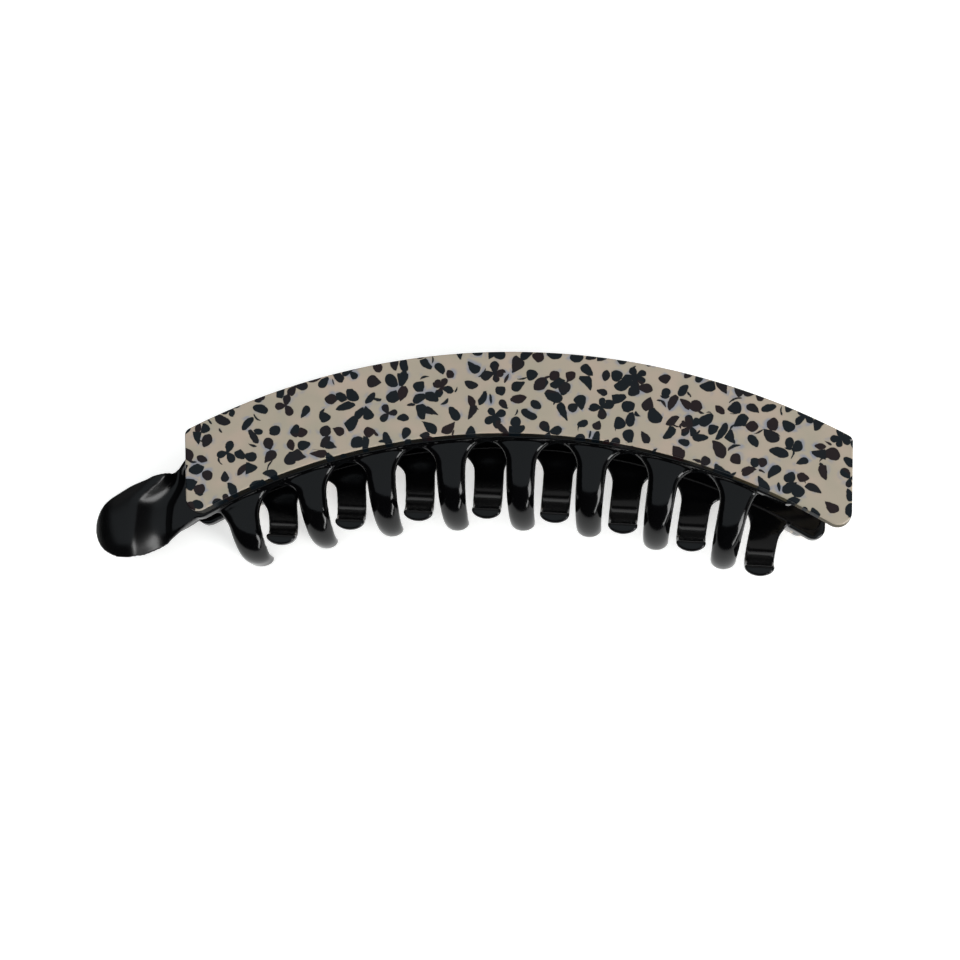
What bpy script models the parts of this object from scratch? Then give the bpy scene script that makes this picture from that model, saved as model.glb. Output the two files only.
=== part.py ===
# Banana hair clip: two curved combs joined by a sprung hinge, each with an arc plate outside.
# Metres, +Z up. The lower plate's outer face lies on z = 0, X runs along the clip and the
# convex side faces +Y. The origin is on that face, on the arc's axis, half way across it.
# "Depth" is measured inward from the outer face of an arm's plate.

import math

import bmesh
import bpy
from mathutils import Matrix

# Arc plates
PLATE_THICKNESS = 0.0025
PLATE_WIDTH = 0.01407
UPPER_PLATE = {"left": -0.0572, "right": 0.0535, "lean": 0.0013}
LOWER_PLATE = {"left": -0.0524, "right": 0.0496, "lean": 0.0}
OUTER_RADIUS = 0.11534
INNER_RADIUS = 0.10174
CONVEX_CORNER = 0.0012
CONCAVE_CORNER = 0.0022
PLATE_BEVEL = 0.00045
ARC_STEPS = 30
CORNER_STEPS = 5

# Hinge line and how far the arms stand apart at rest
HINGE_X = -0.0633
HINGE_Y = -0.0212
HINGE_HEIGHT = 0.0062
REST_SPREAD = math.radians(4.93)

# Spine of a comb
SEAT_GAP = 0.0003
SPINE_DEPTH = PLATE_THICKNESS + SEAT_GAP
SPINE_THICKNESS = 0.0020
SPINE_INSET = 0.0018
RIM = 0.0002
ROOT_DEPTH = SPINE_DEPTH + 0.0005
ROOT_OVERLAP = 0.0001
ROOT_COVER = 0.0030
SPINE_LEFT = -0.0562
LOWER_TONGUE_END = 0.0512
TONGUE_CORNER = 0.0020

# Teeth
TEETH = 8
PITCH = 0.011304
FIRST_UPPER_TOOTH = -0.04555
FIRST_LOWER_TOOTH = FIRST_UPPER_TOOTH + PITCH / 2
TIP_LINE_Y = -0.02094
TIP_LINE_X = -0.0020
TIP_LINE_RADIUS = 0.1195
FAN = 4.8
TIP_DEPTH = 0.0135
ROOT_WIDTH = 0.0052
ROOT_LENGTH = 0.0042
TOOTH_SINK = 0.00006
UPPER_TEETH = {"tip_width": 0.0042, "start": 0.0022, "bend_start": 0.0038, "first_widening": 0.12}
LOWER_TEETH = {"tip_width": 0.0049, "start": 0.0008, "bend_start": 0.0018, "first_widening": 0.0}
STRAIGHT_END = 0.0003
ROOT_THICKNESS = 0.0021
TIP_THICKNESS = 0.0018
TIP_ROUNDING = 0.0007
END_FILLET = 0.0006
TOOTH_STEPS = 9
TOOTH_CROWN = 0.6
SECTION_DEGREES = (0, 14, 36, 62, 90, 118, 144, 166, 180)
TIP_SECTIONS = (
    {"reach": 0.65, "shrink": 0.25},
    {"reach": 1.0, "shrink": 0.75},
)

# Neck and thumb paddle, measured along and across a line that runs down to the left
PADDLE_X = -0.0652
PADDLE_Y = -0.0249
PADDLE_ANGLE = math.radians(215.5)
PADDLE_THICKNESS = 0.0018
PADDLE_EDGE = 0.0004
UPPER_PADDLE = {"half_width": 0.0055, "end": 0.0063, "shift": 0.00078, "neck_trim": 0.0}
LOWER_PADDLE = {"half_width": 0.0042, "end": 0.0045, "shift": 0.0020, "neck_trim": 0.0014}
OWN_WIDTH_FROM = -0.0070
DOME_RISE = 0.0003
CONVEX_DROP = 0.0004
CONCAVE_DROP = 0.0016
SWELL_START = -0.0085
SWELL_LENGTH = 0.0060
NECK_STEPS = 20
END_STEPS = 6
END_TURN = math.radians(80)
FACE_STEPS = 10
UNDER_STEPS = 3
UNDER_SHARE = 0.96

# Reach of the neck from its line to the convex and the concave side
NECK_PLACES = (
    {"along": -0.0150, "convex": 0.00640, "concave": 0.00410},
    {"along": -0.0142, "convex": 0.00624, "concave": 0.00415},
    {"along": -0.0101, "convex": 0.00484, "concave": 0.00428},
    {"along": -0.0070, "convex": 0.00560, "concave": 0.00440},
    {"along": -0.0028, "convex": 0.00620, "concave": 0.00480},
    {"along": 0.0000, "convex": 0.00628, "concave": 0.00472},
)

# Outer face of neck and paddle: pad, ridge, hollow slope down to a foot, seat beside the plate
PAD_DEPTH = 0.0007
RIDGE_DEPTH = 0.0012
RIDGE_ROUND = 0.0014
FOOT_DEPTH = 0.00375
SEAT_DEPTH = 0.0029
SEAT_LENGTH = 0.0017
SLOPE_HOLLOW = 1.8

# X of the ridge and of the foot, and how they bend away towards the convex side
RIDGE = {"x": -0.0643, "bends": ({"from_y": -0.0212, "length": 0.0059, "shift": 0.0043},)}
FOOT = {"x": -0.0603, "bends": ({"from_y": -0.0212, "length": 0.0050, "shift": 0.0015},
                                {"from_y": -0.0148, "length": 0.0035, "shift": 0.0015})}

# Hinge lugs, pin and spring
LUG_RADIUS = 0.0019
LUG_WIDTH = 0.0012
LUG_GAP = 0.0003
LUG_SPAN = 0.0092
LUG_STEPS = 12
WEB_REACH = 0.0010
WEB_SINK = 0.0010
PIN_RADIUS = 0.00055
PIN_LENGTH = 0.0090
BORE_RADIUS = 0.0008
ROUND_SIDES = 16
POCKET_SIDES = 24
WIRE_RADIUS = 0.0003
COIL_RADIUS = 0.0011
COIL_TURNS = 3
COIL_STEPS_PER_TURN = 14
COIL_LEG_STEPS = 6
COIL_LENGTH = 0.0030
LEG_REACH = 0.0055
LEG_HEIGHT = 0.0027

OUTER_CENTRE_Y = PLATE_WIDTH / 2 - OUTER_RADIUS
INNER_CENTRE_Y = -PLATE_WIDTH / 2 - INNER_RADIUS


def clear_scene():
    for item in list(bpy.data.objects):
        bpy.data.objects.remove(item, do_unlink=True)


def new_collection(name):
    collection = bpy.data.collections.new(name)
    bpy.context.scene.collection.children.link(collection)
    return collection


def new_material(name, color, roughness, metallic=0.0):
    material = bpy.data.materials.new(name)
    material.use_nodes = True
    shader = material.node_tree.nodes["Principled BSDF"]
    shader.inputs["Base Color"].default_value = (*color, 1.0)
    shader.inputs["Roughness"].default_value = roughness
    shader.inputs["Metallic"].default_value = metallic
    return material


def smooth_step(value):
    value = min(max(value, 0.0), 1.0)
    return value * value * (3.0 - 2.0 * value)


# Flat outlines and meshes

def arc(centre, radius, start, end, steps):
    points = []
    for step in range(steps + 1):
        angle = start + (end - start) * step / steps
        points.append((centre[0] + radius * math.cos(angle), centre[1] + radius * math.sin(angle)))
    return points


def arc_edge(radius, centre_y, x):
    return centre_y + math.sqrt(radius * radius - x * x)


def corner(radius, centre_y, end_x, fillet, inside):
    """Centre of a fillet between an upright end line and an arc round (0, centre_y)."""
    x = end_x - math.copysign(fillet, end_x)
    reach = radius - fillet if inside else radius + fillet
    return (x, centre_y + math.sqrt(reach * reach - x * x))


def band_outline(outer_radius, inner_radius, left, right, outer_fillet, inner_fillet, lean=0.0):
    """Outline of an arc band with rounded corners; the left end leans in at its lower corner."""
    corners = {}
    for name, end, low_end in (("left", left, left + lean), ("right", right, right)):
        top = corner(outer_radius, OUTER_CENTRE_Y, end, outer_fillet, True)
        low = corner(inner_radius, INNER_CENTRE_Y, low_end, inner_fillet, False)
        top_angle = math.atan2(top[1] - OUTER_CENTRE_Y, top[0])
        low_angle = math.atan2(low[1] - INNER_CENTRE_Y, low[0])
        corners[name] = (top, top_angle, low, low_angle)
    top, top_angle, low, low_angle = corners["right"]
    left_top, left_top_angle, left_low, left_low_angle = corners["left"]
    points = arc(low, inner_fillet, low_angle - math.pi, 0.0, CORNER_STEPS)
    points += arc(top, outer_fillet, 0.0, top_angle, CORNER_STEPS)
    points += arc((0.0, OUTER_CENTRE_Y), outer_radius, top_angle, left_top_angle, ARC_STEPS)[1:-1]
    points += arc(left_top, outer_fillet, left_top_angle, math.pi, CORNER_STEPS)
    points += arc(left_low, inner_fillet, math.pi, left_low_angle + math.pi, CORNER_STEPS)
    points += arc((0.0, INNER_CENTRE_Y), inner_radius, left_low_angle, low_angle, ARC_STEPS)[1:-1]
    return points


def slab(name, outline, thickness, collection):
    """A closed slab of the outline, centred on z = 0."""
    curve = bpy.data.curves.new(name, "CURVE")
    curve.dimensions = "2D"
    curve.fill_mode = "BOTH"
    curve.extrude = thickness / 2
    spline = curve.splines.new("POLY")
    spline.points.add(len(outline) - 1)
    for point, (x, y) in zip(spline.points, outline):
        point.co = (x, y, 0.0, 1.0)
    spline.use_cyclic_u = True
    return solid_from_curve(name, curve, collection)


def solid_from_curve(name, curve, collection):
    """Mesh object of a curve with its caps welded on."""
    carrier = bpy.data.objects.new(name + "_curve", curve)
    collection.objects.link(carrier)
    bpy.context.view_layer.update()
    evaluated = carrier.evaluated_get(bpy.context.evaluated_depsgraph_get())
    mesh = bpy.data.meshes.new_from_object(evaluated)
    bpy.data.objects.remove(carrier, do_unlink=True)
    form = bmesh.new()
    form.from_mesh(mesh)
    bmesh.ops.remove_doubles(form, verts=form.verts, dist=0.000001)
    bmesh.ops.recalc_face_normals(form, faces=form.faces)
    form.to_mesh(mesh)
    form.free()
    item = bpy.data.objects.new(name, mesh)
    collection.objects.link(item)
    return item


def loft(name, rings, collection):
    """A closed solid through rings of equal count, capped at both ends."""
    form = bmesh.new()
    layers = [[form.verts.new(point) for point in ring] for ring in rings]
    count = len(rings[0])
    for first, second in zip(layers, layers[1:]):
        for index in range(count):
            following = (index + 1) % count
            form.faces.new((first[index], first[following], second[following], second[index]))
    form.faces.new(layers[0])
    form.faces.new(layers[-1])
    bmesh.ops.recalc_face_normals(form, faces=form.faces)
    mesh = bpy.data.meshes.new(name)
    form.to_mesh(mesh)
    form.free()
    item = bpy.data.objects.new(name, mesh)
    collection.objects.link(item)
    return item


def cylinder_along_y(name, radius, length, y, sides, collection):
    form = bmesh.new()
    bmesh.ops.create_cone(form, cap_ends=True, segments=sides, radius1=radius, radius2=radius, depth=length)
    bmesh.ops.rotate(form, verts=form.verts, cent=(0.0, 0.0, 0.0),
                     matrix=Matrix.Rotation(math.pi / 2, 3, "X"))
    bmesh.ops.translate(form, verts=form.verts, vec=(0.0, y, 0.0))
    mesh = bpy.data.meshes.new(name)
    form.to_mesh(mesh)
    form.free()
    item = bpy.data.objects.new(name, mesh)
    collection.objects.link(item)
    return item


def combine(target, other, operation, guides):
    modifier = target.modifiers.new(other.name, "BOOLEAN")
    modifier.operation = operation
    modifier.solver = "EXACT"
    modifier.object = other
    if other.name not in guides.objects:
        for collection in list(other.users_collection):
            collection.objects.unlink(other)
        guides.objects.link(other)
    other.hide_render = True
    other.display_type = "WIRE"


def shade(item, degrees):
    item.data.shade_smooth()
    item.data.set_sharp_from_angle(angle=math.radians(degrees))


# Places on an arm, relative to the hinge line. Side is 1 on the upper arm and -1 on the lower.

def arm_point(x, y, depth, side):
    return (x - HINGE_X, y, side * (HINGE_HEIGHT - depth))


def set_slab_depth(item, depth, thickness, side):
    """Moves a slab's mesh, so that its outer face lies at the depth."""
    shift = arm_point(0.0, 0.0, depth + thickness / 2, side)
    for vertex in item.data.vertices:
        vertex.co.x += shift[0]
        vertex.co.z += shift[2]


# Arc plate

def make_plate(name, ends, side, empty, material, parts):
    outline = band_outline(OUTER_RADIUS, INNER_RADIUS, ends["left"], ends["right"],
                           CONVEX_CORNER, CONCAVE_CORNER, ends["lean"])
    plate = slab(name, outline, PLATE_THICKNESS, parts)
    set_slab_depth(plate, 0.0, PLATE_THICKNESS, side)
    bevel = plate.modifiers.new("edges", "BEVEL")
    bevel.width = PLATE_BEVEL
    bevel.segments = 2
    bevel.limit_method = "ANGLE"
    bevel.angle_limit = math.radians(50)
    shade(plate, 40)
    plate.data.materials.append(material)
    plate.parent = empty
    return plate


# Teeth

def tip_y(x):
    return TIP_LINE_Y - (x - TIP_LINE_X) ** 2 / (2 * TIP_LINE_RADIUS)


def tooth_centre(tip_x, y):
    """The teeth fan out a little towards the spine."""
    return tip_x * (1.0 + FAN * (y - tip_y(tip_x)))


def plate_edge(x):
    return arc_edge(INNER_RADIUS, INNER_CENTRE_Y, x)


def comb_teeth(side):
    return UPPER_TEETH if side > 0 else LOWER_TEETH


def widening(index, side):
    """The first tooth of the upper comb is wider than the rest."""
    return 1.0 + comb_teeth(side)["first_widening"] if index == 0 else 1.0


def tooth_path(tip_x, side):
    """Places along a tooth's outer face: y, depth, lean from flat, and share of the length."""
    root_y = plate_edge(tip_x)
    length = root_y - tip_y(tip_x)
    crest = ROOT_DEPTH + TOOTH_SINK
    bend_start = comb_teeth(side)["bend_start"]
    radius = length - bend_start
    places = [(root_y - comb_teeth(side)["start"], crest, 0.0), (root_y - bend_start, crest, 0.0)]
    full = math.pi / 2
    bend = min(full, math.acos(max(0.0, 1.0 - (TIP_DEPTH - TIP_ROUNDING - crest) / radius)))
    for step in range(1, TOOTH_STEPS + 1):
        angle = bend * step / TOOTH_STEPS
        y = root_y - bend_start - radius * math.sin(angle)
        places.append((y, crest + radius * (1.0 - math.cos(angle)), angle))
    if places[-1][1] < TIP_DEPTH - TIP_ROUNDING - STRAIGHT_END:
        places.append((places[-1][0], TIP_DEPTH - TIP_ROUNDING, full))
    last = len(places) - 1
    return [(y, depth, angle, index / last) for index, (y, depth, angle) in enumerate(places)]


def tooth_ring(tip_x, place, wide, shrink, side):
    """A D-shaped section with its round side outward."""
    y, depth, lean, share = place
    width = wide * (ROOT_WIDTH + (comb_teeth(side)["tip_width"] - ROOT_WIDTH) * share) - 2 * shrink
    thickness = ROOT_THICKNESS + (TIP_THICKNESS - ROOT_THICKNESS) * share
    ring = []
    for degrees in SECTION_DEGREES:
        angle = math.radians(degrees)
        across = width / 2 * math.cos(angle)
        inward = thickness - (thickness - shrink) * math.sin(angle) ** TOOTH_CROWN
        if degrees in (0, 180):
            inward = thickness - shrink
        px = tooth_centre(tip_x, y) + across
        py = y + inward * math.sin(lean)
        ring.append(arm_point(px, py, depth + inward * math.cos(lean), side))
    return ring


def make_tooth(name, tip_x, wide, side, parts):
    rings = []
    path = tooth_path(tip_x, side)
    for place in path:
        rings.append(tooth_ring(tip_x, place, wide, 0.0, side))
    y, depth, lean, share = path[-1]
    for section in TIP_SECTIONS:
        reach = TIP_ROUNDING * section["reach"]
        shrink = TIP_ROUNDING * section["shrink"]
        end = (y - reach * math.cos(lean), depth + reach * math.sin(lean), lean, share)
        rings.append(tooth_ring(tip_x, end, wide, shrink, side))
    return loft(name, rings, parts)


# Comb: spine, tooth roots, neck, paddle and hinge lugs

def tooth_sides(tip_x, wide):
    """X of a tooth's left and right side at its root."""
    centre = tooth_centre(tip_x, plate_edge(tip_x) - ROOT_LENGTH)
    return centre - wide * ROOT_WIDTH / 2, centre + wide * ROOT_WIDTH / 2


def below_edge(x, distance):
    return (x, plate_edge(x) - distance)


def quarter(x_from, x_to, from_rim, steps):
    """A quarter ellipse between the rim and the end of a tooth root."""
    points = []
    for step in range(steps + 1):
        angle = math.pi / 2 * step / steps
        if from_rim:
            share, drop = math.sin(angle), 1.0 - math.cos(angle)
        else:
            share, drop = 1.0 - math.cos(angle), 1.0 - math.sin(angle)
        x = x_from + (x_to - x_from) * share
        points.append(below_edge(x, RIM + (ROOT_LENGTH - RIM) * drop))
    return points


def root_outline(first_tooth, side):
    """Outline of the flat roots, with a half-round arch between each two teeth."""
    tips = [first_tooth + PITCH * index for index in range(TEETH)]
    sides = [tooth_sides(tip, widening(index, side)) for index, tip in enumerate(tips)]
    points = []
    for index, (left, right) in enumerate(sides):
        if index == 0:
            points += quarter(left - END_FILLET, left, True, 4)
        else:
            middle = (sides[index - 1][1] + left) / 2
            points += quarter(middle, left, True, 6)[1:]
        if index == TEETH - 1:
            points += quarter(right, right + END_FILLET, False, 4)
        else:
            middle = (right + sides[index + 1][0]) / 2
            points += quarter(right, middle, False, 6)
    first_x = points[0][0]
    last_x = points[-1][0]
    cover = INNER_RADIUS + ROOT_COVER
    for step in range(13):
        x = last_x + (first_x - last_x) * step / 12
        points.append((x, arc_edge(cover, INNER_CENTRE_Y, x)))
    return points


def bent_x(line, y):
    """X of the ridge or the foot at a place across the clip."""
    x = line["x"]
    for bend in line["bends"]:
        x += bend["shift"] * smooth_step((y - bend["from_y"]) / bend["length"])
    return x


def face_depth(x, y):
    """Depth of the outer face of neck and paddle, before the pad's own dome."""
    ridge = bent_x(RIDGE, y)
    foot = bent_x(FOOT, y)
    if x <= ridge:
        share = max(0.0, 1.0 - (ridge - x) / RIDGE_ROUND)
        return PAD_DEPTH + (RIDGE_DEPTH - PAD_DEPTH) * share * share
    if x <= foot:
        share = (x - ridge) / (foot - ridge)
        return RIDGE_DEPTH + (FOOT_DEPTH - RIDGE_DEPTH) * (1.0 - (1.0 - share) ** SLOPE_HOLLOW)
    return FOOT_DEPTH + (SEAT_DEPTH - FOOT_DEPTH) * smooth_step((x - foot) / SEAT_LENGTH)


def neck_reach(along, side_name):
    """Reach of the neck to one side, eased between the listed places."""
    for before, after in zip(NECK_PLACES, NECK_PLACES[1:]):
        if along <= after["along"]:
            share = smooth_step((along - before["along"]) / (after["along"] - before["along"]))
            return before[side_name] + (after[side_name] - before[side_name]) * share
    return NECK_PLACES[-1][side_name]


def dome_depth(share, end_share):
    """Fall of the pad's face from its crown, small on the convex side and larger on the other."""
    out = math.sqrt(min(1.0, end_share ** 2 + share ** 2 * (1.0 - end_share ** 2)))
    sideways = (share * (1.0 - end_share) - 0.5 * end_share) / max(out, 0.001)
    drop = CONVEX_DROP + (CONCAVE_DROP - CONVEX_DROP) * smooth_step(0.5 - 0.8 * sideways)
    return (DOME_RISE + drop) * out ** 3 - DOME_RISE


def paddle_section(along, convex, concave, end_share, swell, side):
    """One section across the neck or paddle: domed outer face, thin edge, plain underside."""
    run = (math.cos(PADDLE_ANGLE), math.sin(PADDLE_ANGLE))
    across = (run[1], -run[0])
    outline = [(-math.cos(math.pi * step / FACE_STEPS), 0.0) for step in range(FACE_STEPS + 1)]
    outline += [(1.0, 0.5)]
    outline += [(UNDER_SHARE * (1.0 - 2.0 * step / UNDER_STEPS), 1.0) for step in range(UNDER_STEPS + 1)]
    outline += [(-1.0, 0.5)]
    ring = []
    for share, level in outline:
        offset = (convex - concave) / 2 + share * (convex + concave) / 2
        x = PADDLE_X + run[0] * along + across[0] * offset
        y = PADDLE_Y + run[1] * along + across[1] * offset
        face = face_depth(x, y)
        underside = face + PADDLE_THICKNESS
        outside = min(face + dome_depth(share, end_share) * swell, underside - PADDLE_EDGE)
        ring.append(arm_point(x, y, outside + (underside - outside) * level, side))
    return ring


def make_paddle(name, paddle, side, parts):
    half_width = paddle["half_width"]
    shift = paddle["shift"]
    neck_start = NECK_PLACES[0]["along"]
    rings = []
    for step in range(NECK_STEPS + 1):
        along = neck_start * (1.0 - step / NECK_STEPS)
        widen = smooth_step((along - OWN_WIDTH_FROM) / -OWN_WIDTH_FROM)
        convex = neck_reach(along, "convex")
        concave = neck_reach(along, "concave") - paddle["neck_trim"]
        convex += (half_width + shift - convex) * widen
        concave += (half_width - shift - concave) * widen
        swell = smooth_step((along - SWELL_START) / SWELL_LENGTH)
        rings.append(paddle_section(along, convex, concave, 0.0, swell, side))
    for step in range(1, END_STEPS + 1):
        angle = END_TURN * step / END_STEPS
        width = half_width * math.cos(angle)
        along = paddle["end"] * math.sin(angle)
        rings.append(paddle_section(along, width + shift, width - shift, math.sin(angle), 1.0, side))
    return loft(name, rings, parts)


def lug_bands(side):
    """Y of the middle of each lug: the lower comb's lie outside the upper comb's."""
    outermost = LUG_SPAN / 2 - LUG_WIDTH / 2
    offset = outermost if side < 0 else outermost - LUG_WIDTH - LUG_GAP
    return (HINGE_Y - offset, HINGE_Y + offset)


def make_lug(name, y, side, parts):
    """A round lug on the hinge line with a web up into the neck or paddle."""
    outline = []
    for x in (-WEB_REACH, 0.0, WEB_REACH):
        outline.append((x, HINGE_HEIGHT - face_depth(HINGE_X + x, y) - WEB_SINK))
    outline += arc((0.0, 0.0), LUG_RADIUS, 0.0, -math.pi, LUG_STEPS)
    lug = slab(name, outline, LUG_WIDTH, parts)
    for vertex in lug.data.vertices:
        x, height, across = vertex.co
        vertex.co = (x, y + across, side * height)
    fix_normals(lug)
    return lug


def fix_normals(item):
    form = bmesh.new()
    form.from_mesh(item.data)
    bmesh.ops.recalc_face_normals(form, faces=form.faces)
    form.to_mesh(item.data)
    form.free()


def make_comb(name, first_tooth, side, empty, material, parts, guides):
    tongue_end = LOWER_TONGUE_END + min(0.0, first_tooth - FIRST_LOWER_TOOTH)
    outline = band_outline(OUTER_RADIUS - SPINE_INSET, INNER_RADIUS - RIM, SPINE_LEFT,
                           tongue_end, TONGUE_CORNER, TONGUE_CORNER)
    comb = slab(name, outline, SPINE_THICKNESS, parts)
    set_slab_depth(comb, SPINE_DEPTH, SPINE_THICKNESS, side)
    root_thickness = SPINE_DEPTH + SPINE_THICKNESS + ROOT_OVERLAP - ROOT_DEPTH
    roots = slab(name + "_roots", root_outline(first_tooth, side), root_thickness, parts)
    set_slab_depth(roots, ROOT_DEPTH, root_thickness, side)
    combine(comb, roots, "UNION", guides)
    for index in range(TEETH):
        tooth = make_tooth(f"{name}_tooth_{index + 1}", first_tooth + PITCH * index,
                           widening(index, side), side, parts)
        combine(comb, tooth, "UNION", guides)
    paddle = UPPER_PADDLE if side > 0 else LOWER_PADDLE
    combine(comb, make_paddle(name + "_paddle", paddle, side, parts), "UNION", guides)
    for index, y in enumerate(lug_bands(-side)):
        clearance = cylinder_along_y(f"{name}_pocket_{index + 1}", LUG_RADIUS + LUG_GAP,
                                     LUG_WIDTH + 2 * LUG_GAP, y, POCKET_SIDES, parts)
        combine(comb, clearance, "DIFFERENCE", guides)
    for index, y in enumerate(lug_bands(side)):
        combine(comb, make_lug(f"{name}_lug_{index + 1}", y, side, parts), "UNION", guides)
    bore = cylinder_along_y(name + "_bore", BORE_RADIUS, LUG_SPAN + 2 * LUG_WIDTH, HINGE_Y,
                            ROUND_SIDES, parts)
    combine(comb, bore, "DIFFERENCE", guides)
    shade(comb, 35)
    comb.data.materials.append(material)
    comb.parent = empty
    for guide in guides.objects:
        if guide.name.startswith(name):
            guide.parent = empty
    return comb


# Pin and spring

def make_pin(empty, material, parts):
    pin = cylinder_along_y("hinge_pin", PIN_RADIUS, PIN_LENGTH, HINGE_Y, ROUND_SIDES, parts)
    shade(pin, 40)
    pin.data.materials.append(material)
    pin.parent = empty
    return pin


def spring_path():
    """Lower leg, coil round the pin, upper leg; the legs lie under the two paddles."""
    reach = math.hypot(LEG_REACH, LEG_HEIGHT)
    leg_end = math.atan2(LEG_HEIGHT, -LEG_REACH)
    leave = leg_end - math.acos(COIL_RADIUS / reach)
    first_y = HINGE_Y - COIL_LENGTH / 2
    last_y = HINGE_Y + COIL_LENGTH / 2
    steps = COIL_STEPS_PER_TURN * COIL_TURNS + COIL_LEG_STEPS
    turned = 2 * leave + 2 * math.pi * COIL_TURNS
    points = [(-LEG_REACH, first_y, -LEG_HEIGHT)]
    for step in range(steps + 1):
        angle = -leave + turned * step / steps
        y = first_y + COIL_LENGTH * step / steps
        points.append((COIL_RADIUS * math.cos(angle), y, COIL_RADIUS * math.sin(angle)))
    points.append((-LEG_REACH, last_y, LEG_HEIGHT))
    return points


def make_spring(empty, material, parts):
    points = spring_path()
    curve = bpy.data.curves.new("hinge_spring", "CURVE")
    curve.dimensions = "3D"
    curve.bevel_depth = WIRE_RADIUS
    curve.bevel_resolution = 2
    curve.use_fill_caps = True
    spline = curve.splines.new("POLY")
    spline.points.add(len(points) - 1)
    for point, place in zip(spline.points, points):
        point.co = (*place, 1.0)
    spring = solid_from_curve("hinge_spring", curve, parts)
    shade(spring, 60)
    spring.data.materials.append(material)
    spring.parent = empty
    return spring


def hinge_empty(name, turn, parts):
    """An empty on the hinge line, turned so that the arm's free end lifts."""
    empty = bpy.data.objects.new(name, None)
    empty.location = (HINGE_X, 0.0, HINGE_HEIGHT)
    empty.rotation_euler = (0.0, -turn, 0.0)
    parts.objects.link(empty)
    return empty


def main():
    clear_scene()
    parts = new_collection("banana_hair_clip")
    guides = new_collection("cutters")
    black = new_material("black_plastic", (0.010, 0.010, 0.011), 0.18)
    acetate = new_material("patterned_acetate", (0.55, 0.43, 0.34), 0.28)
    steel = new_material("steel", (0.62, 0.62, 0.62), 0.3, 1.0)
    lower = hinge_empty("lower_arm", 0.0, parts)
    upper = hinge_empty("upper_arm", REST_SPREAD, parts)
    middle = hinge_empty("spring_seat", REST_SPREAD / 2, parts)
    make_plate("lower_plate", LOWER_PLATE, -1, lower, acetate, parts)
    make_plate("upper_plate", UPPER_PLATE, 1, upper, acetate, parts)
    make_comb("lower_comb", FIRST_LOWER_TOOTH, -1, lower, black, parts, guides)
    make_comb("upper_comb", FIRST_UPPER_TOOTH, 1, upper, black, parts, guides)
    make_pin(lower, steel, parts)
    make_spring(middle, steel, parts)


main()
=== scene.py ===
import math
from functools import partial

import bmesh
import bpy
from mathutils import Matrix, Quaternion, Vector


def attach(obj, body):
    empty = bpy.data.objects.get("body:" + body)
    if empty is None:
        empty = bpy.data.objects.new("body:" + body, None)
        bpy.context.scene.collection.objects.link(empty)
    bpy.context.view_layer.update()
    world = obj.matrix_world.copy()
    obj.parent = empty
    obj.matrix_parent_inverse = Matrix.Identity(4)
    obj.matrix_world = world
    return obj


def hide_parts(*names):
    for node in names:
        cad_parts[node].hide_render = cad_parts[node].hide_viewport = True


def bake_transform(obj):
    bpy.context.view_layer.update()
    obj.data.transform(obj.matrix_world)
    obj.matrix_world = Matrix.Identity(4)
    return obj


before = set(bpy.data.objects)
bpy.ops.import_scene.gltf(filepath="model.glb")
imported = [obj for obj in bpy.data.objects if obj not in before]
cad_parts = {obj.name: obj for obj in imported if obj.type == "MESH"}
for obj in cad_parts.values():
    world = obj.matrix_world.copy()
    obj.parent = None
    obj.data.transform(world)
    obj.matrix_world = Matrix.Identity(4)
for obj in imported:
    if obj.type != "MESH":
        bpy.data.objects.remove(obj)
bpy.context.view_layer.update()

# Banana hair clip. Metres, +Z up. The lower plate's outer face lies on z = 0, X runs along the
# clip and the convex side faces +Y. Each arm is modelled flat round the hinge line with its
# outer face up, then put in place. "Depth" is measured inward from a plate's outer face.

clip = {
    "hingeX": -0.0633,
    "hingeY": -0.0212,
    "hingeHeight": 0.0062,
    "restSpread": math.radians(4.93),   # angle between the two arms at rest
    "plateWidth": 0.01407,
    "outerRadius": 0.11534,
    "innerRadius": 0.10174,
    "sharpAngle": math.radians(50),     # edges sharper than this stay sharp
    "mergeDistance": 0.000001,
}
outerCentreY = clip["plateWidth"] / 2 - clip["outerRadius"]
innerCentreY = -clip["plateWidth"] / 2 - clip["innerRadius"]
hingePlace = Matrix.Translation((clip["hingeX"], 0.0, clip["hingeHeight"]))
nearZero = 0.001     # a divisor stays above this, and a larger share counts as above zero


# Helpers

def smoothStep(value):
    value = min(max(value, 0.0), 1.0)
    return value * value * (3.0 - 2.0 * value)


def newObject(name, data):
    item = bpy.data.objects.new(name, data)
    bpy.context.scene.collection.objects.link(item)
    return item


def finishMesh(item):  # turns an object with live modifiers into a plain mesh
    bpy.context.view_layer.update()
    evaluated = item.evaluated_get(bpy.context.evaluated_depsgraph_get())
    mesh = bpy.data.meshes.new_from_object(evaluated)
    item.modifiers.clear()
    item.data = mesh
    mesh.name = item.name
    return item


def formObject(name, form):  # an object with the form as its mesh
    mesh = bpy.data.meshes.new(name)
    form.to_mesh(mesh)
    form.free()
    return newObject(name, mesh)


def faceOutward(item):
    form = bmesh.new()
    form.from_mesh(item.data)
    bmesh.ops.remove_doubles(form, verts=form.verts, dist=clip["mergeDistance"])
    bmesh.ops.recalc_face_normals(form, faces=form.faces)
    form.to_mesh(item.data)
    form.free()
    item.data.update()
    return item


def arc(centre, radius, start, end, steps):
    places = []
    for step in range(steps + 1):
        angle = start + (end - start) * step / steps
        places.append((centre[0] + radius * math.cos(angle), centre[1] + radius * math.sin(angle)))
    return places


def armPoint(x, y, depth):
    return (x - clip["hingeX"], y, clip["hingeHeight"] - depth)


def placeOnArm(item, arm):  # from flat round the hinge line to the clip at rest
    if arm == "upper":
        item.data.transform(hingePlace @ Matrix.Rotation(-clip["restSpread"], 4, "Y"))
    else:
        item.data.transform(hingePlace @ Matrix.Diagonal((1.0, 1.0, -1.0, 1.0)))
        item.data.flip_normals()
    return item


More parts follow.
